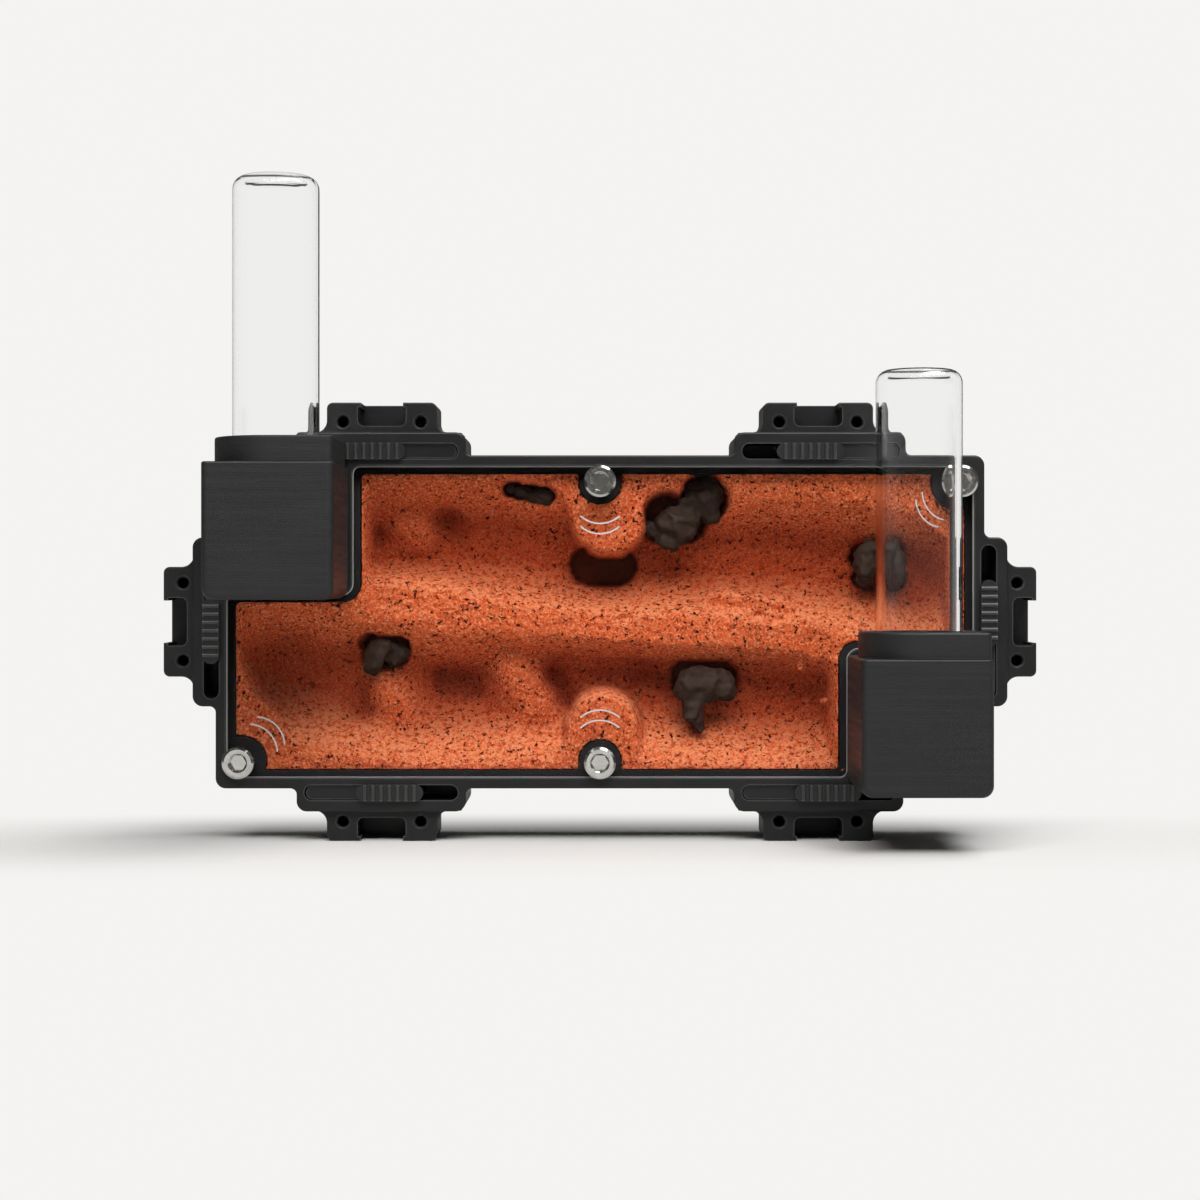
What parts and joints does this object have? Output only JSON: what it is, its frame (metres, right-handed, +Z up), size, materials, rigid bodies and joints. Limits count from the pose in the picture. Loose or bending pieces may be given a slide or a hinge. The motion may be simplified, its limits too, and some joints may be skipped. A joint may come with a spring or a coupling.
{
  "type": "ant habitat",
  "caption": "Upright ant nest behind a clear window in a black clamped case, with gated docking connectors round its edge and test tubes standing in front-mounted docks.",
  "frame": {"origin": "the middle of the part's box at floor level, on the plane that the lower connectors stand on", "axes": "+X to the right along the case's length, -Y towards the viewer and the window's face, +Z up"},
  "size_m": [0.1708, 0.045, 0.1276],
  "materials": {
    "case_plastic": "fine satin moulded nylon, black",
    "dock_plastic": "satin dark grey print with faint level layer lines",
    "thumb_plastic": "satin black",
    "window_acrylic": "clear polished acrylic",
    "tube_glass": "clear thin glass",
    "screw_steel": "polished stainless steel",
    "insert_brass": "turned brass",
    "gasket_rubber": "matt black silicone",
    "seal_silicone": "translucent grey silicone",
    "nest_plaster": "open grained orange red plaster",
    "nest_clay": "dull dark grey brown clay"
  },
  "bodies": {
    "case": {"front_frame": "case_plastic", "rear_frame": "case_plastic", "window": "window_acrylic", "window_gasket": "gasket_rubber", "window_screws": "screw_steel", "threaded_inserts": "insert_brass", "dock_screws": "screw_steel", "nest_insert": "nest_plaster", "clay_inlays": "nest_clay", "left_tube_dock": "dock_plastic", "right_tube_dock": "dock_plastic"},
    "top_left_gate_slider": {"top_left_gate": "case_plastic", "top_left_thumb_pad": "thumb_plastic"},
    "top_right_gate_slider": {"top_right_gate": "case_plastic", "top_right_thumb_pad": "thumb_plastic"},
    "right_gate_slider": {"right_gate": "case_plastic", "right_thumb_pad": "thumb_plastic"},
    "bottom_right_gate_slider": {"bottom_right_gate": "case_plastic", "bottom_right_thumb_pad": "thumb_plastic"},
    "bottom_left_gate_slider": {"bottom_left_gate": "case_plastic", "bottom_left_thumb_pad": "thumb_plastic"},
    "left_gate_slider": {"left_gate": "case_plastic", "left_thumb_pad": "thumb_plastic"},
    "left_collar": {"left_tube_collar": "dock_plastic", "left_tube_seal": "seal_silicone"},
    "left_tube": {"left_test_tube": "tube_glass"},
    "right_collar": {"right_tube_collar": "dock_plastic", "right_tube_seal": "seal_silicone"},
    "right_tube": {"right_test_tube": "tube_glass"}
  },
  "joints": [
    {"name": "top_left_gate_slide", "type": "slide", "parent": "case", "child": "top_left_gate_slider", "axis": [-1, 0, 0], "range_m": [0, 0.0065]},
    {"name": "top_right_gate_slide", "type": "slide", "parent": "case", "child": "top_right_gate_slider", "axis": [-1, 0, 0], "range_m": [0, 0.0065]},
    {"name": "right_gate_slide", "type": "slide", "parent": "case", "child": "right_gate_slider", "axis": [0, 0, 1], "range_m": [0, 0.0065]},
    {"name": "bottom_right_gate_slide", "type": "slide", "parent": "case", "child": "bottom_right_gate_slider", "axis": [1, 0, 0], "range_m": [0, 0.0065]},
    {"name": "bottom_left_gate_slide", "type": "slide", "parent": "case", "child": "bottom_left_gate_slider", "axis": [1, 0, 0], "range_m": [0, 0.0065]},
    {"name": "left_gate_slide", "type": "slide", "parent": "case", "child": "left_gate_slider", "axis": [0, 0, -1], "range_m": [0, 0.0065]},
    {"name": "left_collar_lift", "type": "slide", "parent": "case", "child": "left_collar", "axis": [0, 0, 1], "range_m": [0, 0.012]},
    {"name": "left_tube_pull", "type": "slide", "parent": "left_collar", "child": "left_tube", "axis": [0, 0, 1], "range_m": [0, 0.03]},
    {"name": "right_collar_lift", "type": "slide", "parent": "case", "child": "right_collar", "axis": [0, 0, 1], "range_m": [0, 0.012]},
    {"name": "right_tube_pull", "type": "slide", "parent": "right_collar", "child": "right_tube", "axis": [0, 0, 1], "range_m": [0, 0.03]}
  ]
}
